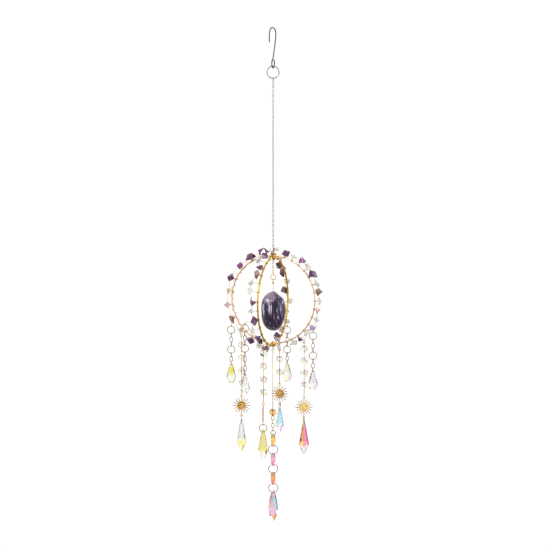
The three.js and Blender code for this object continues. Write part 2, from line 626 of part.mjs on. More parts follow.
function centreStrand() {
  const group = new THREE.Group();
  const eyeZ = -HOOP_RADIUS - HOOP_STEP / 2 - BINDING_RADIUS - EYE_RADIUS;
  const stringZ = eyeZ - hangs(EYE_RADIUS, EYE_WIRE, STRING_EYE_RADIUS, STRING_WIRE);
  const beadFoot = stringZ - CENTRE_BAR - BEAD_HALF_HEIGHT - CENTRE_LINKS_BELOW_BEAD;
  const stringBottom = beadFoot - CENTRE_LINK_RUN;
  group.add(placed(mesh('centre_string', centreStringGeometry(), METAL.gold), stringZ));
  let ringRadius = SMALL_RING_RADIUS;
  let ringZ = stringBottom - hangs(0, LINK_WIRE, ringRadius, CENTRE_RING_WIRE);
  const looks = [CRYSTAL.orange, CRYSTAL.rose, CRYSTAL.orange];
  looks.forEach((look, i) => {
    const octagonZ = ringZ - ringRadius - OCTAGON_HOLE_AT;
    const ring = loop(ringRadius, CENTRE_RING_WIRE, RING_SEGMENTS);
    group.add(placed(mesh(`centre_ring_${i + 1}`, ring, METAL.gold), ringZ));
    group.add(placed(mesh(`centre_octagon_${i + 1}`, octagonGeometry(), look), octagonZ));
    ringRadius = CENTRE_RING_RADIUS;
    ringZ = octagonZ - OCTAGON_HOLE_AT - ringRadius;
  });
  const lastRing = loop(ringRadius, CENTRE_RING_WIRE, RING_SEGMENTS);
  group.add(placed(mesh('centre_ring_4', lastRing, METAL.gold), ringZ));
  const drop = mesh('centre_drop', almondGeometry(), CRYSTAL.rose);
  group.add(placed(drop, ringZ - ringRadius + RING_LOW_IN_HOLE));
  group.rotation.z = rad(-GLOBE_TURN);
  return group;
}

const suncatcher = new THREE.Group();
const globeGroup = globe();
globeGroup.position.z = -GLOBE_DROP;
globeGroup.rotation.z = rad(GLOBE_TURN);
globeGroup.add(hangingStone(), centreStrand());
const SHORT_LOOKS = { right: CRYSTAL.clear, back: CRYSTAL.rose, left: CRYSTAL.yellow, front: CRYSTAL.clear };
const LONG_LOOKS = { right: CRYSTAL.orange, back: CRYSTAL.rose, left: CRYSTAL.clear, front: CRYSTAL.yellow };
for (const { side, azimuth } of GARLANDS) {
  globeGroup.add(atEye(shortStrand(side, SHORT_LOOKS[side]), SHORT_EYES[side], azimuth, SHORT_TURN[side]));
  globeGroup.add(atEye(longStrand(side, LONG_LOOKS[side]), LONG_EYES[side], azimuth));
}
suncatcher.add(suspension(), globeGroup);

export default suncatcher;
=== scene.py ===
import math

import bmesh
import bpy
from mathutils import Matrix, Vector, noise


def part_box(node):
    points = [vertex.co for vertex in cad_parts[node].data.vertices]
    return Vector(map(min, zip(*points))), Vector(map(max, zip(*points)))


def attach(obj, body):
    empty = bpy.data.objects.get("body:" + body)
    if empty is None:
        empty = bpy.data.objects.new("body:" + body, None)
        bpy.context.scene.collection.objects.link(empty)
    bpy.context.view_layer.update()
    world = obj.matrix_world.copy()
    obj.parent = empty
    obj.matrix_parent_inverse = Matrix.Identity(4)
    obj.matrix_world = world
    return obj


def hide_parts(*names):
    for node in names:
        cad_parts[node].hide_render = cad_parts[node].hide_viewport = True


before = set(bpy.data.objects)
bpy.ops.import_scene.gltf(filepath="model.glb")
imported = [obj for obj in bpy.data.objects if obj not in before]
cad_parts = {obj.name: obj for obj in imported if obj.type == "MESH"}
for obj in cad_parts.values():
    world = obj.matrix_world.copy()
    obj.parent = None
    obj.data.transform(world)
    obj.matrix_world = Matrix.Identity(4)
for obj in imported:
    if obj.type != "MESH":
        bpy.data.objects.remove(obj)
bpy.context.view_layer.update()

MM = 0.001
UP = Vector((0, 0, 1))
SIDES = ("right", "back", "left", "front")
AZIMUTH = {"right": 0, "back": 90, "left": 180, "front": -90}

# Turns about the vertical, in degrees, of the hook, the globe and each strand.
HOOK_TURN = 60
GLOBE_TURN = -20
SHORT_TURN = {"right": 8, "back": -20, "left": -6, "front": 14}
SUN_TURN = {"right": 6, "back": -14, "left": 0, "front": 86}

# Hook, millimetres: the crook, the straight leg and the closed eye below it.
HOOK_WIRE = 1.6
HOOK_SHOWN_WIRE = 1.46
CROOK_RADIUS = 7
CROOK_MIDDLE = -1
CROOK_LEG = 9.4
CROOK_LEG_SPREAD = 0.4
HOOK_EYE_DROP = 38.4
HOOK_EYE_HALF_WIDTH = 2.9
HOOK_EYE_HALF_HEIGHT = 4.9
HOOK_EYE_START = 105
HOOK_EYE_END = 418
HOOK_EYE_STEPS = 10
CROOK_STEP = 20
HOOK_CURVE_STEPS = 8

# Wires and links, millimetres.
TOP_RING_WIRE = 1.2
CHAIN_PITCH = 2.8
CHAIN_WIRE = 0.6
CHAIN_HALF_WIDTH = 0.95
HOOP_WIRE = 2
HOOP_SHOWN_WIRE = {"hoop_wide": 1.7, "hoop_narrow": 2}
WINDING_WIRE = 0.7
WINDING_RADIUS = 2
WINDING_TURNS = 17
WINDING_SPAN = (100, 262)
BINDING_WIRE = 0.7
BINDING_RADIUS = 2.9
BINDING_TURNS = 7
BINDING_SHIFT = 0.28
BINDING_SETTLE = 0.05
EYE_RADIUS = 1.5
EYE_WIRE = 0.7
GAP = 0.3
RING_WIRE = 0.9
SMALL_RING_WIRE = 0.8
LINK_WIRE = 0.8
LINK_HALF_WIDTH = 1.6
STRING_EYE_RADIUS = 1.4
STRING_WIRE = 0.7
STRING_EYE_RISE = 1.68
PIN_COIL_TURNS = 4
STONE_CHAIN_LINKS = 6
LONG_RUN = 20
LONG_RUN_LINKS = 5
SHORT_RUN_LINKS = 3

# Garlands: the chips' kinds from the top, their angles along the hoop and how they roll round it. The
# kinds are amethyst, magenta, dark, lavender, rose, brown, yellow and clear, by their first letters.
CHIP_SIZE = {"A": 13.5, "M": 11, "D": 10, "L": 12.5, "R": 11, "B": 12, "Y": 10.5, "C": 10.5}
CHIP_POINTS = 6
CHIP_CLEARANCE = 1.5
CHIP_FLATNESS = (0.8, 1, 0.72)
CHIP_SWELL = (0.86, 0.3)
CHIP_LEAN_SPREAD = 36
CHIP_ROUNDING = 0.05
CHIP_SHOWN_GIRTH = {"A": 1.08, "M": 1.1, "D": 1, "L": 1, "R": 1.1, "B": 1.1, "Y": 1.2, "C": 1.1}
GARLANDS = {
    "right": {"kinds": "ACMCACBCRCLCDC", "span": (16, 154), "roll": 0, "clear_roll": 12, "reach": 0},
    "back": {"kinds": "ACAACACACRAC", "span": (16, 160), "roll": 68, "clear_roll": 12, "reach": 0},
    "left": {"kinds": "AAMAYRBCA", "span": (13, 150), "roll": 0, "clear_roll": 15, "reach": 0},
    "front": {"kinds": "ACABCCACACADCA", "span": (14, 168), "roll": -52, "clear_roll": -62, "reach": 4.5},
}
GARLAND_WIRE = 0.5
WRAP_WIRE = 0.45
WRAP_RADIUS = 1.4
WRAP_SPREAD = 0.9

# Loose chips wired to the two poles: kind and place from the pole, millimetres.
POLE_CHIPS = {
    "top_binding": (("C", (-2.2, -5, 6.8)), ("C", (4.8, -2.4, 8.6)), ("R", (1.6, 5.2, 7.6))),
    "bottom_binding": (("C", (6.2, -3.4, -4)), ("L", (4.6, -5.2, 5.6))),
}
POLE_CHIP_SIZE = 8.5

# Beads, suns and drops, millimetres and fractions.
BEAD_RADIUS = 4.4
BEAD_HALF_HEIGHT = 3.6
BEAD_SIDES = 10
BEAD_COUNT = {"right": 4, "back": 2, "left": 4, "front": 4}
BEAD_PITCH = {"right": 13.6, "back": 14.6, "left": 14.6, "front": 14.6}
FIRST_BEAD = {"right": 6.2, "back": 9.6, "left": 9.6, "front": 6.2}
BEAD_PROFILE = ((1, 0.5, 0), (0.62, 0.86, 0.5), (0, 1, 0), (-0.62, 0.86, 0.5), (-1, 0.5, 0))
SUN_RAYS = 16
SUN_DISC_RADIUS = 4.9
SUN_RAY_TIP = 10.6
SUN_RAY_SHORT = 0.92
SUN_RAY_HALF_WIDTH = (0.5, 0.42)
SUN_RAY_ROOT = 0.8
SUN_RAY_NECK = 0.88
SUN_RAY_DEPTH = 0.7
SUN_THICKNESS = 0.9
SUN_STEPS = 48
SUN_PROFILE = ((0.02, 0.9), (0.35, 0.82), (0.7, 0.55), (0.84, 0.5), (0.88, 0.95), (1, 0.8))
SUN_EYE_AT = 10.7
SUN_EYE_RADIUS = 1.3
SUN_EYE_WIRE = 0.7
PEAR_HALF_WIDTH = 5.6
PEAR_HALF_THICKNESS = 3.3
PEAR_SIDES = 10
PEAR_PROFILE = (
    (0, 0.26, 0), (0.2, 0.42, 0.5), (0.42, 0.74, 0), (0.68, 1, 0.5), (0.88, 0.78, 0), (1, 0.3, 0.5),
)
ICICLE_RADIUS_TO_LENGTH = 5.9 / 35
ICICLE_SIDES = 6
ICICLE_PROFILE = (
    (0, 0.25, 0), (0.3, 0.56, 0), (0.62, 0.94, 0), (0.7, 1, 0.5), (0.8, 0.72, 0), (1, 0.1, 0),
)
ALMOND_HALF_WIDTH = 5.9
ALMOND_SIDES = 8
ALMOND_PROFILE = (
    (0, 0.25, 0), (0.14, 0.46, 0.5), (0.33, 0.76, 0), (0.6, 1, 0.5), (0.84, 0.72, 0), (1, 0.22, 0.5),
)
OCTAGON_RADIUS = 7.3
OCTAGON_HALF_THICKNESS = 2.8
OCTAGON_HOLE_AT = 5.65
OCTAGON_PROFILE = (
    (1, 0.5, 0), (0.74, 0.78, 0.5), (0.4, 1, 0), (-0.4, 1, 0), (-0.74, 0.78, 0.5), (-1, 0.5, 0),
)
HOLE_RADIUS = 1.2
HOLE_DEPTH = 2.3
HOLE_SEGMENTS = 14
HOLE_TOOL_LENGTH = 30
CENTRE_BAR = 70.5
CENTRE_LINKS = 4

# Tumbled stone, millimetres and fractions.
STONE_HALF = (14.3, 12.2, 21.4)
STONE_LUMP = 0.032
STONE_TAPER = 0.03
STONE_GRAIN = 0.25
STONE_GRAIN_SCALE = (6, 6, 2.5)
STONE_CAP_REACH = (14, 8)
STONE_CAP_SHARE = 0.55
STONE_SQUARENESS = 2.22

# Camera: distance in metres, aim and view width in millimetres. Lights: metres and watts. World: the
# strength at two values of a direction's part along Y, and along Z.
CAMERA_DISTANCE = 2.0
CAMERA_ELEVATION = 5
CAMERA_AIM = (2.6, 0, -272.4)
VIEW_WIDTH = 612
LIGHTS = {
    "key": {"spot": (-0.9, -1.2, 0.7), "size": 0.6, "power": 20},
    "fill": {"spot": (1.1, -0.9, -0.1), "size": 0.8, "power": 8},
    "rim": {"spot": (0.6, 1.0, 0.5), "size": 0.6, "power": 10},
}
WORLD_BY_DEPTH = ((-0.35, 0.5), (0.6, 1.08))
WORLD_BY_HEIGHT = ((-0.85, 0.55), (-0.2, 1))

# Grain of the surfaces: noise scales, the noise that spans the two colours, and the fine relief.
METAL_GRAIN = 500
CHIP_GRAIN = 260
STONE_STREAKS = 640
GRAIN_DETAIL = 6
GRAIN_RANGE = (0.36, 0.64)
FINE_GRAIN = 5
RELIEF_DEPTH = 0.2

# Colours of a crystal's facets from its lower tip (0) to its top (1), and the coating's own colours.
COATING = ((1, 0.5, 0.72), (0.45, 0.88, 1), (1, 0.9, 0.3), (0.75, 0.58, 1), (0.6, 1, 0.72), (1, 1, 1))
COATING_SHARE = 0.16
CLEAR = (0.96, 0.96, 0.93)
PALE_GREEN = (0.82, 0.94, 0.68)
YELLOW = (1, 0.84, 0.01)
SOFT_YELLOW = (0.97, 0.86, 0.3)
ORANGE = (1, 0.34, 0.01)
AMBER = (1, 0.62, 0.03)
ROSE = (0.98, 0.46, 0.55)
MAGENTA = (0.92, 0.01, 0.4)
LAVENDER = (0.84, 0.5, 0.84)
CYAN = (0.22, 0.84, 0.92)
VIOLET = (0.25, 0.07, 0.82)
TEAL = (0.1, 0.5, 0.42)
DARK = (0.14, 0.13, 0.18)
CHAMPAGNE = (0.95, 0.86, 0.68)
CRYSTAL_TINTS = {
    "short_left": ((0, PALE_GREEN), (0.42, CLEAR), (0.5, YELLOW), (0.74, YELLOW), (1, CHAMPAGNE)),
    "short_front": ((0, CLEAR), (0.6, CHAMPAGNE), (1, CLEAR)),
    "short_back": ((0, SOFT_YELLOW), (0.4, CLEAR), (1, SOFT_YELLOW)),
    "short_right": ((0, PALE_GREEN), (0.5, CLEAR), (1, CHAMPAGNE)),
    "long_left": ((0, YELLOW), (0.34, SOFT_YELLOW), (0.46, CLEAR), (1, CLEAR)),
    "long_front": ((0, CLEAR), (0.28, CLEAR), (0.36, YELLOW), (0.7, SOFT_YELLOW), (1, SOFT_YELLOW)),
    "long_back": ((0, MAGENTA), (0.26, SOFT_YELLOW), (0.44, CYAN), (1, CYAN)),
    "long_right": ((0, CLEAR), (0.24, CLEAR), (0.34, ORANGE), (0.5, AMBER), (1, YELLOW)),
    "centre_drop": ((0, SOFT_YELLOW), (0.24, LAVENDER), (0.5, ROSE), (1, ROSE)),
    "octagon_1": ((0, ORANGE), (0.4, AMBER), (1, AMBER)),
    "octagon_2": ((0, MAGENTA), (0.6, ROSE), (1, CLEAR)),
    "octagon_3": ((0, MAGENTA), (0.5, ORANGE), (1, SOFT_YELLOW)),
    "bead": ((0, CHAMPAGNE), (1, CLEAR)),
    "bead_green": ((0, PALE_GREEN), (1, CLEAR)),
    "bead_pink": ((0, ROSE), (0.5, CLEAR), (1, CLEAR)),
    "bead_orange": ((0, ORANGE), (1, SOFT_YELLOW)),
}
# Other stops for the facets beyond a share of the half width, from -1 at the left edge to 1 at the right.
SIDE_TINTS = {
    "short_back": ((0, ((0, ROSE), (0.4, CLEAR), (1, SOFT_YELLOW))),),
    "short_right": ((0, ((0, CLEAR), (0.5, LAVENDER), (1, CLEAR))),),
    "long_back": (
        (-0.3, ((0, MAGENTA), (0.3, CLEAR), (1, CYAN))),
        (0.35, ((0, MAGENTA), (0.26, VIOLET), (0.8, VIOLET), (1, CYAN))),
    ),
    "long_right": ((0.05, ((0, CLEAR), (0.24, CLEAR), (0.28, MAGENTA), (0.6, MAGENTA), (1, ORANGE))),),
    "centre_drop": (
        (0.1, ((0, ORANGE), (0.28, ORANGE), (0.36, CYAN), (0.8, CYAN), (1, ROSE))),
        (0.6, ((0, ORANGE), (0.16, TEAL), (0.4, CYAN), (0.6, DARK), (1, DARK))),
    ),
}
FIRST_BEAD_TINT = {"right": "bead_green", "back": "bead_pink", "left": "bead", "front": "bead_green"}


def flat(turn):
    """The level direction of +X turned about the vertical."""
    return Vector((math.cos(math.radians(turn)), math.sin(math.radians(turn)), 0))


def middle(node):
    low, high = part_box(node)
    return (Vector(low) + Vector(high)) / 2


def height(node):
    low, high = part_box(node)
    return high[2] - low[2]


def top_of(node):
    return Vector((*middle(node).xy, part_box(node)[1][2]))


def scatter(seed):
    """Repeatable scatter between 0 and 1."""
    wave = math.sin(seed * 12.9898) * 43758.5453
    return wave - math.floor(wave)


class Shape:
    """Points and faces gathered from several parts, with a material number and a tint for each face."""

    def __init__(self):
        self.points = []
        self.faces = []
        self.looks = []
        self.tints = []

    def add(self, part, look=0, tints=None):
        points, faces = part
        base = len(self.points)
        self.points += points
        self.faces += [tuple(base + i for i in face) for face in faces]
        self.looks += [look] * len(faces)
        self.tints += tints or [(1, 1, 1)] * len(faces)


def make(name, shape, materials, nodes, smooth=True):
    """Turns a shape into a piece that rides on the one body and stands for its CAD nodes."""
    mesh = bpy.data.meshes.new(name)
    mesh.from_pydata(shape.points, [], shape.faces)
    tint = mesh.color_attributes.new("tint", "FLOAT_COLOR", "CORNER")
    for polygon, look, colour in zip(mesh.polygons, shape.looks, shape.tints):
        polygon.material_index = look
        polygon.use_smooth = smooth
        for corner in polygon.loop_indices:
            tint.data[corner].color = (*colour, 1)
    net = bmesh.new()
    net.from_mesh(mesh)
    bmesh.ops.recalc_face_normals(net, faces=net.faces)
    net.to_mesh(mesh)
    net.free()
    for material in materials:
        mesh.materials.append(material)
    piece = bpy.data.objects.new(name, mesh)
    bpy.context.scene.collection.objects.link(piece)
    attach(piece, "root")
    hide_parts(*nodes)
    return piece


def tube(path, wire, normal, closed=True, sides=8):
    """A round wire along a path that never runs along the normal."""
    count = len(path)
    points = []
    for i, spot in enumerate(path):
        before = path[i - 1] if closed or i else spot
        after = path[(i + 1) % count] if closed or i < count - 1 else spot
        run = (after - before).normalized()
        out = run.cross(normal).normalized()
        side = out.cross(run)
        for j in range(sides):
            angle = math.tau * j / sides
            points.append(spot + (out * math.cos(angle) + side * math.sin(angle)) * wire / 2)
    faces = []
    for i in range(count if closed else count - 1):
        here = i * sides
        there = ((i + 1) % count) * sides
        for j in range(sides):
            k = (j + 1) % sides
            faces.append((here + j, here + k, there + k, there + j))
    if not closed:
        faces.append(tuple(range(sides)))
        faces.append(tuple((count - 1) * sides + j for j in range(sides)))
    return points, faces


def straight(start, end, wire, sides=8):
    run = (end - start).normalized()
    normal = run.orthogonal().normalized()
    return tube([start, end], wire, normal, False, sides)


def circle(centre, u, v, radius, wire, steps=28, sides=8):
    """A wire ring in the plane of two square directions."""
    path = []
    for i in range(steps):
        angle = math.tau * i / steps
        path.append(centre + (u * math.cos(angle) + v * math.sin(angle)) * radius)
    return tube(path, wire, u.cross(v), True, sides)


def oval(centre, half_length, half_width, wire, turn, steps=20, sides=7):
    """A standing wire link with straight sides and round ends."""
    level = flat(turn)
    path = []
    for i in range(steps):
        angle = math.tau * (i + 0.5) / steps
        rise = half_width * math.sin(angle) + math.copysign(half_length - half_width, math.sin(angle))
        path.append(centre + level * half_width * math.cos(angle) + UP * rise)
    return tube(path, wire, level.cross(UP), True, sides)


def link_run(shape, start, span, count, half_width, wire, first_turn):
    """Links that hang in one another from a start point down, each turned a quarter from the last."""
    pitch = (span - 2 * wire) / count
    for i in range(count):
        centre = start - UP * (pitch * (i + 0.5) + wire)
        shape.add(oval(centre, (pitch + wire) / 2, half_width, wire, first_turn + 90 * i))


def ring_of(node, wire, turn):
    """A smooth ring in the place of a CAD ring."""
    radius = (height(node) - wire) / 2
    return circle(middle(node), flat(turn), UP, radius, wire, 40, 10)


def read(net):
    net.verts.index_update()
    points = [vertex.co.copy() for vertex in net.verts]
    faces = [tuple(vertex.index for vertex in face.verts) for face in net.faces]
    net.free()
    return points, faces


def hull(points):
    """The convex body round some points, with its level facets whole."""
    net = bmesh.new()
    for point in points:
        net.verts.new(point)
    made = bmesh.ops.convex_hull(net, input=net.verts)
    loose = [item for item in made["geom_interior"] if isinstance(item, bmesh.types.BMVert)]
    bmesh.ops.delete(net, geom=loose, context="VERTS")
    bmesh.ops.dissolve_limit(net, angle_limit=math.radians(1), verts=net.verts, edges=net.edges)
    return net


def rings(profile, sides, reach, rise, place):
    """Corners of a cut stone: rows of (along, out, turn in facets), scaled by the reach and rise."""
    points = []
    for along, out, turn in profile:
        for i in range(sides):
            angle = math.tau * (i + turn) / sides
            x = reach[0] * out * math.cos(angle)
            y = reach[1] * out * math.sin(angle)
            points.append(place @ Vector((x, y, rise * along)))
    return points


def drilled(points, holes):
    """A cut stone with round holes through it, each a centre and a direction."""
    scratch = []
    mesh = bpy.data.meshes.new("stone")
    hull(points).to_mesh(mesh)
    body = bpy.data.objects.new("stone", mesh)
    scratch.append(body)
    for centre, direction in holes:
        net = bmesh.new()
        turn = UP.rotation_difference(direction).to_matrix().to_4x4()
        bmesh.ops.create_cone(
            net, cap_ends=True, segments=HOLE_SEGMENTS, radius1=HOLE_RADIUS * MM, radius2=HOLE_RADIUS * MM,
            depth=HOLE_TOOL_LENGTH * MM, matrix=Matrix.Translation(centre) @ turn,
        )
        tool_mesh = bpy.data.meshes.new("hole")
        net.to_mesh(tool_mesh)
        net.free()
        tool = bpy.data.objects.new("hole", tool_mesh)
        scratch.append(tool)
        cutter = body.modifiers.new("hole", "BOOLEAN")
        cutter.operation = "DIFFERENCE"
        cutter.object = tool
    for item in scratch:
        bpy.context.scene.collection.objects.link(item)
    result = bpy.data.meshes.new_from_object(body.evaluated_get(bpy.context.evaluated_depsgraph_get()))
    points = [vertex.co.copy() for vertex in result.vertices]
    faces = [tuple(polygon.vertices) for polygon in result.polygons]
    for item in scratch:
        bpy.data.objects.remove(item)
    return points, faces


def tint_at(stops, share):
    """The colour that a list of stops gives at a share of the height."""
    above = next(i for i, (stop, _) in enumerate(stops) if stop >= share)
    below = max(above - 1, 0)
    span = stops[above][0] - stops[below][0] or 1
    return Vector(stops[below][1]).lerp(Vector(stops[above][1]), (share - stops[below][0]) / span)


def tints_of(part, name, seed):
    """A colour for each facet, by its height and its side, and from the coating by chance."""
    points, faces = part
    low = min(point.z for point in points)
    high = max(point.z for point in points)
    left = min(point.x for point in points)
    right = max(point.x for point in points)
    tints = []
    for number, face in enumerate(faces):
        centre = sum((points[i] for i in face), Vector()) / len(face)
        across = (2 * centre.x - left - right) / (right - left)
        stops = CRYSTAL_TINTS[name]
        for edge, side_stops in SIDE_TINTS.get(name, ()):
            if across > edge:
                stops = side_stops
        colour = tint_at(stops, min((centre.z - low) / (high - low), 1))
        coat = Vector(COATING[int(scatter(seed + number) * len(COATING))])
        tints.append(tuple(colour.lerp(coat, COATING_SHARE)))
    return tints


def surface(name, low, high, scale, stretch=(1, 1, 1), roughness=(0.2, 0.4), bump=0.1, sockets=None):
    """A surface whose colour, roughness and relief wander in object space."""
    material = bpy.data.materials.new(name)
    material.use_nodes = True
    nodes = material.node_tree.nodes
    link = material.node_tree.links.new
    shader = nodes["Principled BSDF"]
    place = nodes.new("ShaderNodeTexCoord")
    mapping = nodes.new("ShaderNodeMapping")
    mapping.inputs["Scale"].default_value = stretch
    link(place.outputs["Object"], mapping.inputs["Vector"])
    grain = nodes.new("ShaderNodeTexNoise")
    grain.inputs["Scale"].default_value = scale
    grain.inputs["Detail"].default_value = GRAIN_DETAIL
    link(mapping.outputs["Vector"], grain.inputs["Vector"])
    ramp = nodes.new("ShaderNodeValToRGB")
    ramp.color_ramp.elements[0].position = GRAIN_RANGE[0]
    ramp.color_ramp.elements[0].color = (*low, 1)
    ramp.color_ramp.elements[1].position = GRAIN_RANGE[1]
    ramp.color_ramp.elements[1].color = (*high, 1)
    link(grain.outputs["Fac"], ramp.inputs["Fac"])
    link(ramp.outputs["Color"], shader.inputs["Base Color"])
    rough = nodes.new("ShaderNodeMapRange")
    rough.inputs["To Min"].default_value = roughness[0]
    rough.inputs["To Max"].default_value = roughness[1]
    link(grain.outputs["Fac"], rough.inputs["Value"])
    link(rough.outputs["Result"], shader.inputs["Roughness"])
    fine = nodes.new("ShaderNodeTexNoise")
    fine.inputs["Scale"].default_value = scale * FINE_GRAIN
    link(mapping.outputs["Vector"], fine.inputs["Vector"])
    relief = nodes.new("ShaderNodeBump")
    relief.inputs["Strength"].default_value = bump
    relief.inputs["Distance"].default_value = RELIEF_DEPTH * MM
    link(fine.outputs["Fac"], relief.inputs["Height"])
    link(relief.outputs["Normal"], shader.inputs["Normal"])
    for socket, value in (sockets or {}).items():
        shader.inputs[socket].default_value = value
    return material


def metal(name, low, high, roughness, bump, metallic=1.0):
    return surface(name, low, high, METAL_GRAIN, (1, 1, 1), roughness, bump, {"Metallic": metallic})


def chip_stone(name, low, high, transmission):
    sockets = {"Transmission Weight": transmission, "IOR": 1.54, "Coat Weight": 0.4, "Coat Roughness": 0.06}
    return surface(name, low, high, CHIP_GRAIN, (1, 1, 0.6), (0.05, 0.2), 0.06, sockets)


def crystal_look():
    """Coated clear glass, see-through by the shader's own values, with a colour on each facet."""
    material = bpy.data.materials.new("coated_crystal")
    material.use_nodes = True
    nodes = material.node_tree.nodes
    link = material.node_tree.links.new
    shader = nodes["Principled BSDF"]
    tint = nodes.new("ShaderNodeAttribute")
    tint.attribute_name = "tint"
    link(tint.outputs["Color"], shader.inputs["Base Color"])
    shader.inputs["Transmission Weight"].default_value = 1.0
    shader.inputs["IOR"].default_value = 1.54
    shader.inputs["Roughness"].default_value = 0.02
    shader.inputs["Thin Film Thickness"].default_value = 380
    shader.inputs["Thin Film IOR"].default_value = 1.38
    return material


def amethyst_look():
    """Dark tumbled amethyst: long pale streaks, and a paler cap on the upper left."""
    low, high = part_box("amethyst_stone")
    sockets = {"IOR": 1.5, "Coat Weight": 0.35, "Coat Roughness": 0.16}
    dark, purple = (0.007, 0.003, 0.011), (0.04, 0.016, 0.066)
    stretch = (1, 1, 0.08)
    material = surface("tumbled_amethyst", dark, purple, STONE_STREAKS, stretch, (0.2, 0.4), 0.12, sockets)
    nodes = material.node_tree.nodes
    link = material.node_tree.links.new
    ramp = next(node for node in nodes if node.type == "VALTORGB")
    ramp.color_ramp.elements[0].position = 0.42
    ramp.color_ramp.elements[1].position = 0.55
    streak = ramp.color_ramp.elements.new(0.6)
    streak.color = (0.2, 0.14, 0.28, 1)
    white = ramp.color_ramp.elements.new(0.66)
    white.color = (0.72, 0.66, 0.76, 1)
    place = nodes.new("ShaderNodeTexCoord")
    cap_spot = Vector((low[0] * 0.5, low[1], high[2]))
    offset = nodes.new("ShaderNodeVectorMath")
    offset.operation = "DISTANCE"
    offset.inputs[1].default_value = cap_spot
    link(place.outputs["Object"], offset.inputs[0])
    nearness = nodes.new("ShaderNodeMapRange")
    nearness.inputs["From Min"].default_value = STONE_CAP_REACH[0] * MM
    nearness.inputs["From Max"].default_value = STONE_CAP_REACH[1] * MM
    nearness.inputs["To Max"].default_value = STONE_CAP_SHARE
    link(offset.outputs["Value"], nearness.inputs["Value"])
    mix = nodes.new("ShaderNodeMix")
    mix.data_type = "RGBA"
    mix.inputs["B"].default_value = (0.42, 0.33, 0.4, 1)
    link(nearness.outputs["Result"], mix.inputs["Factor"])
    link(ramp.outputs["Color"], mix.inputs["A"])
    link(mix.outputs["Result"], nodes["Principled BSDF"].inputs["Base Color"])
    return material


HOOK_METAL = metal("antique_rose_wire", (0.075, 0.05, 0.04), (0.21, 0.145, 0.115), (0.4, 0.6), 0.15, 0.85)
SILVER = metal("silver_wire", (0.2, 0.195, 0.195), (0.4, 0.39, 0.39), (0.3, 0.45), 0.08)
CHAIN_METAL = metal("rose_chain_wire", (0.2, 0.125, 0.12), (0.42, 0.3, 0.29), (0.3, 0.45), 0.1, 0.8)
GOLD = metal("gold_wire", (0.5, 0.27, 0.04), (0.82, 0.52, 0.1), (0.2, 0.38), 0.12, 0.85)
# The narrow hoop is the same gold wire as the wide one. Its deeper, more saturated gold is painted shade: a
# shaded copy of that gold.
SHADED_HOOP_GOLD = metal("painted_shade_hoop_wire", (0.46, 0.26, 0.008), (0.82, 0.52, 0.03), (0.25, 0.42), 0.12, 0.7)
# The wide hoop is the same gold wire as the narrow one. Its paler, pinkish gold is painted light: a
# washed-out, lit copy of that gold.
LIT_HOOP_GOLD = metal("painted_light_hoop_wire", (0.78, 0.48, 0.26), (1.0, 0.76, 0.52), (0.3, 0.48), 0.12, 0.7)
RING_GOLD = metal("champagne_ring_wire", (0.25, 0.2, 0.13), (0.52, 0.43, 0.31), (0.2, 0.38), 0.1)
SUN_GOLD = metal("etched_gold_plate", (0.4, 0.2, 0.04), (0.95, 0.6, 0.2), (0.35, 0.55), 0.7, 0.5)
SUN_BRIGHT = metal("bright_gold_plate", (0.85, 0.48, 0.08), (1.0, 0.78, 0.3), (0.35, 0.55), 0.7, 0.4)
RAY_GOLD = metal("ray_gold", (0.3, 0.15, 0.03), (0.52, 0.29, 0.08), (0.35, 0.5), 0.2, 0.5)
SUN_LOOKS = {"right": SUN_BRIGHT, "back": SUN_GOLD, "left": SUN_GOLD, "front": SUN_GOLD}
CHIP_LOOKS = {
    "A": chip_stone("amethyst_chip", (0.045, 0.01, 0.04), (0.22, 0.075, 0.19), 0.1),
    "M": chip_stone("magenta_chip", (0.26, 0.03, 0.24), (0.5, 0.16, 0.44), 0.25),
    "D": chip_stone("dark_chip", (0.02, 0.006, 0.02), (0.1, 0.035, 0.09), 0.05),
    "L": chip_stone("lavender_chip", (0.52, 0.38, 0.66), (0.8, 0.7, 0.9), 0.5),
    "R": chip_stone("rose_chip", (0.76, 0.42, 0.46), (0.93, 0.72, 0.72), 0.4),
    "B": chip_stone("brown_chip", (0.16, 0.075, 0.05), (0.42, 0.25, 0.19), 0.15),
    "Y": chip_stone("golden_chip", (0.6, 0.36, 0.1), (0.9, 0.7, 0.34), 0.4),
    "C": chip_stone("quartz_chip", (0.88, 0.9, 0.83), (1.0, 0.94, 0.94), 0.45),
}
CRYSTAL = crystal_look()
AMETHYST = amethyst_look()


def smooth_path(points, steps):
    """A centripetal curve through the points."""
    ends = [points[0] * 2 - points[1], *points, points[-1] * 2 - points[-2]]
    path = []
    for p0, p1, p2, p3 in zip(ends, ends[1:], ends[2:], ends[3:]):
        t1 = math.sqrt((p1 - p0).length)
        t2 = t1 + math.sqrt((p2 - p1).length)
        t3 = t2 + math.sqrt((p3 - p2).length)
        for i in range(steps):
            t = t1 + (t2 - t1) * i / steps
            a1 = p0.lerp(p1, t / t1)
            a2 = p1.lerp(p2, (t - t1) / (t2 - t1))
            a3 = p2.lerp(p3, (t - t2) / (t3 - t2))
            b1 = a1.lerp(a2, t / t2)
            b2 = a2.lerp(a3, (t - t1) / (t3 - t1))
            path.append(b1.lerp(b2, (t - t1) / (t2 - t1)))
    return [*path, points[-1]]


def hook_spot(x, z):
    return (flat(HOOK_TURN) * x + UP * z) * MM


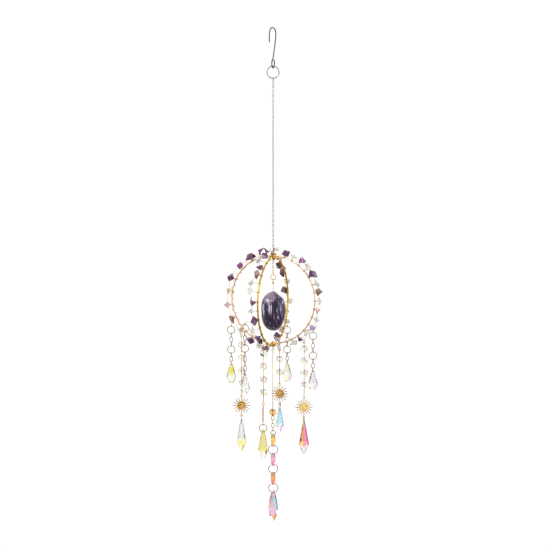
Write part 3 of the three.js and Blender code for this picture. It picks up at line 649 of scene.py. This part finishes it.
def make_hook():
    crook_z = HOOK_WIRE / 2 - CROOK_RADIUS
    points = [hook_spot(CROOK_MIDDLE - CROOK_RADIUS - CROOK_LEG_SPREAD, crook_z - CROOK_LEG)]
    for angle in range(180, -1, -CROOK_STEP):
        turn = math.radians(angle)
        x = CROOK_MIDDLE + CROOK_RADIUS * math.cos(turn)
        points.append(hook_spot(x, crook_z + CROOK_RADIUS * math.sin(turn)))
    for i in range(HOOK_EYE_STEPS + 1):
        turn = math.radians(HOOK_EYE_START + (HOOK_EYE_END - HOOK_EYE_START) * i / HOOK_EYE_STEPS)
        z = HOOK_EYE_HALF_HEIGHT * math.sin(turn) - HOOK_EYE_DROP
        points.append(hook_spot(HOOK_EYE_HALF_WIDTH * math.cos(turn), z))
    shape = Shape()
    normal = flat(HOOK_TURN).cross(UP)
    shape.add(tube(smooth_path(points, HOOK_CURVE_STEPS), HOOK_SHOWN_WIRE * MM, normal, False, 14))
    make("hook_wire", shape, [HOOK_METAL], ["hook"])


def make_suspension():
    ring = Shape()
    ring.add(ring_of("top_ring", TOP_RING_WIRE * MM, 0))
    make("top_ring_wire", ring, [SILVER], ["top_ring"])
    chain = Shape()
    count = 2 * round(height("chain") / (2 * CHAIN_PITCH * MM))
    link_run(chain, top_of("chain"), height("chain"), count, CHAIN_HALF_WIDTH * MM, CHAIN_WIRE * MM, 90)
    make("chain_links", chain, [CHAIN_METAL], ["chain"])


def winding(centre, level, radius):
    """A thin wire that winds loosely round the left half of a hoop."""
    normal = level.cross(UP)
    first, last = WINDING_SPAN
    steps = 16 * WINDING_TURNS
    path = []
    for i in range(steps + 1):
        around = math.radians(first + (last - first) * i / steps)
        turn = math.tau * WINDING_TURNS * i / steps
        radial = level * math.cos(around) + UP * math.sin(around)
        lift = (radial * math.cos(turn) + normal * math.sin(turn)) * WINDING_RADIUS * MM
        path.append(centre + radial * radius + lift)
    return tube(path, WINDING_WIRE * MM, normal, False)


def make_hoops():
    # The wide hoop gets the gold with painted light, and the narrow hoop the same gold with painted shade.
    hoops = (("hoop_wide", GLOBE_TURN, LIT_HOOP_GOLD), ("hoop_narrow", GLOBE_TURN + 90, SHADED_HOOP_GOLD))
    for node, turn, look in hoops:
        shape = Shape()
        radius = (height(node) - HOOP_WIRE * MM) / 2
        shape.add(circle(middle(node), flat(turn), UP, radius, HOOP_SHOWN_WIRE[node] * MM, 144, 12))
        if node == "hoop_wide":
            shape.add(winding(middle(node), flat(turn), radius))
        make(f"{node}_wire", shape, [look], [node])


def make_binding(node, eye_signs):
    """Turns of wire laid crosswise round both hoops, with the eyes above and below."""
    shape = Shape()
    centre = middle("hoop_wide")
    sign = 1 if node == "top_binding" else -1
    ends = [middle(hoop).z + sign * height(hoop) / 2 for hoop in ("hoop_wide", "hoop_narrow")]
    centre.z = sum(ends) / 2 - sign * HOOP_WIRE * MM / 2
    for i in range(BINDING_TURNS):
        side = 45 if i % 2 else -45
        shift = flat(GLOBE_TURN + side + 90) * (i - BINDING_TURNS // 2) * BINDING_SHIFT * BINDING_WIRE * MM
        radius = (BINDING_RADIUS - BINDING_SETTLE * (i % 3)) * MM
        shape.add(circle(centre + shift, flat(GLOBE_TURN + side), UP, radius, BINDING_WIRE * MM))
    for eye_sign in eye_signs:
        eye = centre + UP * eye_sign * (BINDING_RADIUS + EYE_RADIUS) * MM
        shape.add(circle(eye, flat(90), UP, EYE_RADIUS * MM, EYE_WIRE * MM))
    make(f"{node}_wraps", shape, [GOLD], [node])
    make_pole_chips(node, centre)


def chip_corners(seed, size):
    golden = math.pi * (3 - math.sqrt(5))
    corners = []
    for i in range(CHIP_POINTS):
        level = 1 - (2 * i + 1) / CHIP_POINTS
        around = golden * i + math.tau * scatter(seed + 0.1)
        girth = math.sqrt(1 - level * level)
        reach = size / 2 * (CHIP_SWELL[0] + CHIP_SWELL[1] * scatter(seed + i))
        unit = Vector((girth * math.cos(around), girth * math.sin(around), level))
        corners.append(unit * Vector(CHIP_FLATNESS) * reach)
    return corners


def chips_of(side):
    """Each chip of a garland: kind, middle and corners, from the hoop's own middle."""
    garland = GARLANDS[side]
    kinds = garland["kinds"]
    node = "hoop_wide" if side in ("right", "left") else "hoop_narrow"
    hoop_radius = (height(node) / MM - HOOP_WIRE) / 2
    turn = AZIMUTH[side] + GLOBE_TURN
    out_way, across_way, origin = flat(turn), flat(turn + 90), middle(node)
    chips = []
    for i, kind in enumerate(kinds):
        seed = 17 * SIDES.index(side) + 3 * i + 1
        clear = kind == "C"
        first, last = garland["span"]
        polar = math.radians(first + (last - first) * i / (len(kinds) - 1))
        roll = garland["clear_roll"] if clear else garland["roll"]
        lean = math.radians(roll + CHIP_LEAN_SPREAD * (scatter(seed + 0.5) - 0.5))
        radial = out_way * math.sin(polar) + UP * math.cos(polar)
        tangent = out_way * math.cos(polar) - UP * math.sin(polar)
        away = radial * math.cos(lean) + across_way * math.sin(lean)
        axes = Matrix((away, tangent, away.cross(tangent))).transposed()
        spin = Matrix.Rotation(math.tau * scatter(seed + 0.7), 3, "X")
        corners = [spin @ corner for corner in chip_corners(seed, CHIP_SIZE[kind])]
        lowest = min(corner.x for corner in corners)
        distance = CHIP_CLEARANCE - lowest + (garland["reach"] if clear else 0)
        hoop_spot = origin + radial * hoop_radius * MM
        centre = hoop_spot + away * distance * MM
        girth = Vector((1, CHIP_SHOWN_GIRTH[kind], CHIP_SHOWN_GIRTH[kind]))
        chips.append({
            "kind": kind, "middle": centre, "hoop": hoop_spot, "radial": radial, "across": across_way,
            "tangent": tangent, "corners": [axes @ (corner * girth) * MM + centre for corner in corners],
        })
    return chips


def rounded_chip(corners, size):
    net = hull(corners)
    rounding = CHIP_ROUNDING * size * MM
    bmesh.ops.bevel(net, geom=list(net.edges), offset=rounding, segments=2, profile=0.5, affect="EDGES")
    return read(net)


def make_pole_chips(node, pole):
    """Loose chips round a pole, each on its own wire from the lashing."""
    stones = Shape()
    wires = Shape()
    looks = []
    for i, (kind, offset) in enumerate(POLE_CHIPS[node]):
        spot = pole + Vector(offset) * MM
        corners = [spot + corner * MM for corner in chip_corners(7 * i + len(node), POLE_CHIP_SIZE)]
        stones.add(rounded_chip(corners, POLE_CHIP_SIZE), i)
        wires.add(straight(pole, spot, WRAP_WIRE * MM, 6))
        looks.append(CHIP_LOOKS[kind])
    make(f"{node}_chips", stones, looks, [node], False)
    make(f"{node}_chip_wires", wires, [GOLD], [node])


def strand_eye(wires, chips, spot, turn):
    """An eye for a strand, on a wire from the nearest chip above it."""
    above = [chip for chip in chips if chip["middle"].z > spot.z + 2 * EYE_RADIUS * MM]
    nearest = min(above, key=lambda chip: (chip["middle"] - spot).length)
    wires.add(circle(spot, flat(turn), UP, EYE_RADIUS * MM, EYE_WIRE * MM))
    wires.add(straight(spot + UP * EYE_RADIUS * MM, nearest["middle"], GARLAND_WIRE * MM))


def make_garland(side):
    chips = chips_of(side)
    stones = Shape()
    wires = Shape()
    kinds = sorted(CHIP_LOOKS)
    for chip in chips:
        stones.add(rounded_chip(chip["corners"], CHIP_SIZE[chip["kind"]]), kinds.index(chip["kind"]))
        for step in (-WRAP_SPREAD, WRAP_SPREAD):
            spot = chip["hoop"] + chip["tangent"] * step * WRAP_WIRE * MM
            wires.add(circle(spot, chip["radial"], chip["across"], WRAP_RADIUS * MM, WRAP_WIRE * MM, 16, 6))
        wrap_top = chip["hoop"] + chip["radial"] * WRAP_RADIUS * MM
        wires.add(straight(wrap_top, chip["middle"], WRAP_WIRE * MM, 6))
    for before, after in zip(chips, chips[1:]):
        wires.add(straight(before["middle"], after["middle"], GARLAND_WIRE * MM, 6))
    ring_top = top_of(f"short_{side}_upper_ring")
    rise = EYE_RADIUS - EYE_WIRE / 2 - RING_WIRE - GAP
    strand_eye(wires, chips, ring_top + UP * rise * MM, SHORT_TURN[side] + 90)
    string_top = top_of(f"long_{side}_bead_string")
    strand_eye(wires, chips, string_top + UP * rise * MM, SUN_TURN[side])
    node = f"garland_{side}"
    make(f"{node}_chips", stones, [CHIP_LOOKS[kind] for kind in kinds], [node], False)
    make(f"{node}_wire", wires, [GOLD], [node])


def make_stone():
    """The tumbled stone with fine dents, and the pin, ring and short chain that carry it."""
    centre = top_of("amethyst_stone") - UP * height("amethyst_stone") / 2
    net = bmesh.new()
    bmesh.ops.create_icosphere(net, subdivisions=6, radius=1)
    half = Vector(STONE_HALF)
    for vertex in net.verts:
        p = vertex.co.copy()
        full = sum(abs(share) ** STONE_SQUARENESS for share in p) ** (-1 / STONE_SQUARENESS)
        broad = STONE_LUMP * math.sin(3.1 * p.x + 1.3) * math.cos(2.7 * p.y - 0.6)
        lump = 1 + broad + STONE_LUMP * math.sin(4.3 * p.z + p.x)
        egg = 1 - STONE_TAPER * p.z
        spot = Vector((p.x * half.x * egg, p.y * half.y * egg, p.z * half.z)) * lump * full
        dent = STONE_GRAIN * min(noise.noise(p * Vector(STONE_GRAIN_SCALE)), 0)
        vertex.co = centre + (spot + p * dent) * MM
    shape = Shape()
    shape.add(read(net))
    make("tumbled_stone", shape, [AMETHYST], ["amethyst_stone"])
    chain = Shape()
    span = height("stone_chain")
    link_run(chain, top_of("stone_chain"), span, STONE_CHAIN_LINKS, CHAIN_HALF_WIDTH * MM, CHAIN_WIRE * MM, 0)
    make("stone_chain_links", chain, [GOLD], ["stone_chain"])
    ring = Shape()
    ring.add(ring_of("stone_ring", SMALL_RING_WIRE * MM, 0))
    make("stone_ring_wire", ring, [GOLD], ["stone_ring"])
    pin = Shape()
    eye = top_of("stone_pin") - UP * STRING_EYE_RISE * MM
    foot = Vector((*eye.xy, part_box("stone_pin")[0][2]))
    pin.add(circle(eye, flat(90), UP, EYE_RADIUS * MM, EYE_WIRE * MM))
    pin.add(straight(eye - UP * EYE_RADIUS * MM, foot, EYE_WIRE * MM))
    for i in range(PIN_COIL_TURNS):
        coil = eye - UP * (EYE_RADIUS + EYE_WIRE * (i + 0.6)) * MM
        pin.add(circle(coil, flat(0), flat(90), EYE_WIRE * MM, EYE_WIRE * MM, 18))
    make("stone_pin_wire", pin, [GOLD], ["stone_pin"])


def add_crystal(shape, part, tint, seed):
    shape.add(part, 0, tints_of(part, tint, seed))


def drop_part(node, profile, sides, reach, turn, hole_turn):
    """A cut drop in the place of a CAD drop, drilled across near its top."""
    crown = top_of(node)
    place = Matrix.Translation(crown) @ Matrix.Rotation(math.radians(turn), 4, "Z")
    points = rings(profile, sides, reach, -height(node), place)
    return drilled(points, [(crown - UP * HOLE_DEPTH * MM, flat(hole_turn))])


def make_short_strand(side):
    name = f"short_{side}"
    turn = SHORT_TURN[side]
    for part in ("upper_ring", "lower_ring"):
        ring = Shape()
        ring.add(ring_of(f"{name}_{part}", RING_WIRE * MM, turn))
        make(f"{name}_{part}_wire", ring, [RING_GOLD], [f"{name}_{part}"])
    for part in ("links", "drop_links"):
        node = f"{name}_{part}"
        run = Shape()
        count = LONG_RUN_LINKS if height(node) > LONG_RUN * MM else SHORT_RUN_LINKS
        link_run(run, top_of(node), height(node), count, LINK_HALF_WIDTH * MM, LINK_WIRE * MM, turn + 90)
        make(f"{node}_wire", run, [RING_GOLD], [node])
    drop = Shape()
    reach = (PEAR_HALF_WIDTH * MM, PEAR_HALF_THICKNESS * MM)
    part = drop_part(f"{name}_drop", PEAR_PROFILE, PEAR_SIDES, reach, turn, turn + 90)
    add_crystal(drop, part, name, 5 + AZIMUTH[side])
    make(f"{name}_crystal", drop, [CRYSTAL], [f"{name}_drop"], False)


def bead_part(centre, turn):
    place = Matrix.Translation(centre) @ Matrix.Rotation(math.radians(turn), 4, "Z")
    reach = (BEAD_RADIUS * MM, BEAD_RADIUS * MM)
    return read(hull(rings(BEAD_PROFILE, BEAD_SIDES, reach, BEAD_HALF_HEIGHT * MM, place)))


def sun_part(shape, centre, turn):
    """A domed disc with a rim, rays of two lengths, and an eye above and below."""
    level, normal = flat(turn), flat(turn + 90)
    depth = SUN_THICKNESS * MM / 2
    spots = []
    for face in (1, -1):
        for out, rise in SUN_PROFILE if face > 0 else SUN_PROFILE[::-1]:
            for i in range(SUN_STEPS):
                angle = math.tau * i / SUN_STEPS
                arm = level * math.cos(angle) + UP * math.sin(angle)
                spots.append(centre + arm * out * SUN_DISC_RADIUS * MM + normal * face * rise * depth)
    faces = [tuple(range(SUN_STEPS)), tuple(len(spots) - SUN_STEPS + i for i in range(SUN_STEPS))]
    for row in range(2 * len(SUN_PROFILE) - 1):
        here = row * SUN_STEPS
        there = here + SUN_STEPS
        for i in range(SUN_STEPS):
            k = (i + 1) % SUN_STEPS
            faces.append((here + i, here + k, there + k, there + i))
    shape.add((spots, faces))
    for i in range(SUN_RAYS):
        angle = math.tau * i / SUN_RAYS
        arm = level * math.cos(angle) + UP * math.sin(angle)
        side = arm.cross(normal)
        tip = SUN_RAY_TIP * (SUN_RAY_SHORT if i % 2 else 1)
        ray = [centre + arm * tip * MM]
        for reach, half in zip((SUN_RAY_ROOT * SUN_DISC_RADIUS, SUN_RAY_NECK * tip), SUN_RAY_HALF_WIDTH):
            for a, b in ((1, 0), (0, 1), (-1, 0), (0, -1)):
                lift = normal * b * SUN_RAY_DEPTH * depth
                ray.append(centre + (arm * reach + side * a * half) * MM + lift)
        shape.add(read(hull(ray)), 1)
    for sign in (1, -1):
        eye = centre + UP * sign * SUN_EYE_AT * MM
        shape.add(circle(eye, level, UP, SUN_EYE_RADIUS * MM, SUN_EYE_WIRE * MM))


def make_long_strand(side):
    name = f"long_{side}"
    turn = SUN_TURN[side]
    node = f"{name}_bead_string"
    start = top_of(node) - UP * STRING_EYE_RISE * MM
    end = Vector((*start.xy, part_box(node)[0][2] + STRING_EYE_RISE * MM))
    beads = Shape()
    wire = Shape()
    for i in range(BEAD_COUNT[side]):
        centre = start - UP * (FIRST_BEAD[side] + i * BEAD_PITCH[side]) * MM
        tint = "bead" if i else FIRST_BEAD_TINT[side]
        add_crystal(beads, bead_part(centre, 7 * i), tint, 31 * i + AZIMUTH[side])
    for eye in (start, end):
        wire.add(circle(eye, flat(turn + 90), UP, STRING_EYE_RADIUS * MM, STRING_WIRE * MM))
    eye_reach = UP * STRING_EYE_RADIUS * MM
    wire.add(straight(start - eye_reach, end + eye_reach, STRING_WIRE * MM))
    make(f"{node}_beads", beads, [CRYSTAL], [node], False)
    make(f"{node}_wire", wire, [GOLD], [node])
    sun = Shape()
    sun_part(sun, middle(f"{name}_sun"), turn)
    make(f"{name}_sun_plate", sun, [SUN_LOOKS[side], RAY_GOLD], [f"{name}_sun"], False)
    ring = Shape()
    ring.add(ring_of(f"{name}_drop_ring", RING_WIRE * MM, turn + 90))
    make(f"{name}_drop_ring_wire", ring, [RING_GOLD], [f"{name}_drop_ring"])
    drop = Shape()
    radius = ICICLE_RADIUS_TO_LENGTH * height(f"{name}_drop")
    part = drop_part(f"{name}_drop", ICICLE_PROFILE, ICICLE_SIDES, (radius, radius), turn + 90, turn + 90)
    add_crystal(drop, part, name, 11 + AZIMUTH[side])
    make(f"{name}_crystal", drop, [CRYSTAL], [f"{name}_drop"], False)


def make_centre_strand():
    start = top_of("centre_string") - UP * STRING_EYE_RISE * MM
    bead_spot = start - UP * CENTRE_BAR * MM
    foot = bead_spot - UP * BEAD_HALF_HEIGHT * MM
    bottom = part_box("centre_string")[0][2]
    wire = Shape()
    wire.add(circle(start, flat(0), UP, STRING_EYE_RADIUS * MM, STRING_WIRE * MM))
    wire.add(straight(start - UP * STRING_EYE_RADIUS * MM, foot - UP * LINK_WIRE * MM, STRING_WIRE * MM))
    link_run(wire, foot, foot.z - bottom, CENTRE_LINKS, LINK_HALF_WIDTH * MM, LINK_WIRE * MM, 0)
    make("centre_string_wire", wire, [GOLD], ["centre_string"])
    bead = Shape()
    add_crystal(bead, bead_part(bead_spot, 0), "bead_orange", 71)
    make("centre_bead", bead, [CRYSTAL], ["centre_string"], False)
    for i in (1, 2, 3, 4):
        ring = Shape()
        ring.add(ring_of(f"centre_ring_{i}", RING_WIRE * MM, 0))
        make(f"centre_ring_{i}_wire", ring, [RING_GOLD], [f"centre_ring_{i}"])
    for i in (1, 2, 3):
        centre = middle(f"centre_octagon_{i}")
        place = Matrix.Translation(centre) @ Matrix.Rotation(math.pi / 2, 4, "Y")
        place = place @ Matrix.Rotation(math.pi / 8, 4, "Z")
        reach = (OCTAGON_RADIUS * MM, OCTAGON_RADIUS * MM)
        points = rings(OCTAGON_PROFILE, 8, reach, OCTAGON_HALF_THICKNESS * MM, place)
        holes = [(centre + UP * sign * OCTAGON_HOLE_AT * MM, flat(0)) for sign in (1, -1)]
        octagon = Shape()
        add_crystal(octagon, drilled(points, holes), f"octagon_{i}", 90 + 13 * i)
        make(f"centre_octagon_{i}_crystal", octagon, [CRYSTAL], [f"centre_octagon_{i}"], False)
    drop = Shape()
    reach = (ALMOND_HALF_WIDTH * MM, ALMOND_HALF_WIDTH * MM)
    part = drop_part("centre_drop", ALMOND_PROFILE, ALMOND_SIDES, reach, 0, 0)
    add_crystal(drop, part, "centre_drop", 43)
    make("centre_crystal", drop, [CRYSTAL], ["centre_drop"], False)


def share_of(nodes, link, value, start, end):
    """A node that maps a coordinate from one range to another."""
    share = nodes.new("ShaderNodeMapRange")
    share.inputs["From Min"].default_value, share.inputs["To Min"].default_value = start
    share.inputs["From Max"].default_value, share.inputs["To Max"].default_value = end
    link(value, share.inputs["Value"])
    return share.outputs["Result"]


def make_world():
    """A white studio, dimmer on the viewer's side and far below, for glass and metal to show."""
    world = bpy.data.worlds.new("studio")
    bpy.context.scene.world = world
    world.use_nodes = True
    nodes = world.node_tree.nodes
    link = world.node_tree.links.new
    place = nodes.new("ShaderNodeTexCoord")
    split = nodes.new("ShaderNodeSeparateXYZ")
    link(place.outputs["Generated"], split.inputs["Vector"])
    strength = nodes.new("ShaderNodeMath")
    strength.operation = "MULTIPLY"
    link(share_of(nodes, link, split.outputs["Y"], *WORLD_BY_DEPTH), strength.inputs[0])
    link(share_of(nodes, link, split.outputs["Z"], *WORLD_BY_HEIGHT), strength.inputs[1])
    link(strength.outputs["Value"], nodes["Background"].inputs["Strength"])
    nodes["Background"].inputs["Color"].default_value = (1, 1, 1, 1)


def make_light(name, spot, size, power):
    data = bpy.data.lights.new(name, "AREA")
    data.size = size
    data.energy = power
    light = bpy.data.objects.new(name, data)
    light.location = spot
    aim = Vector(CAMERA_AIM) * MM - Vector(spot)
    light.rotation_euler = aim.to_track_quat("-Z", "Y").to_euler()
    bpy.context.scene.collection.objects.link(light)


def make_camera():
    data = bpy.data.cameras.new("view")
    data.lens = data.sensor_width * CAMERA_DISTANCE / (VIEW_WIDTH * MM)
    camera = bpy.data.objects.new("view", data)
    rise = math.radians(CAMERA_ELEVATION)
    back = Vector((0, -math.cos(rise), math.sin(rise)))
    camera.location = Vector(CAMERA_AIM) * MM + back * CAMERA_DISTANCE
    camera.rotation_euler = (-back).to_track_quat("-Z", "Y").to_euler()
    bpy.context.scene.collection.objects.link(camera)
    bpy.context.scene.camera = camera


make_camera()
make_world()
for light_name, light in LIGHTS.items():
    make_light(light_name, **light)
bpy.context.scene.view_settings.view_transform = "Standard"

make_hook()
make_suspension()
make_hoops()
make_binding("top_binding", (1, -1))
make_binding("bottom_binding", (-1,))
make_stone()
for strand_side in SIDES:
    make_garland(strand_side)
    make_short_strand(strand_side)
    make_long_strand(strand_side)
make_centre_strand()
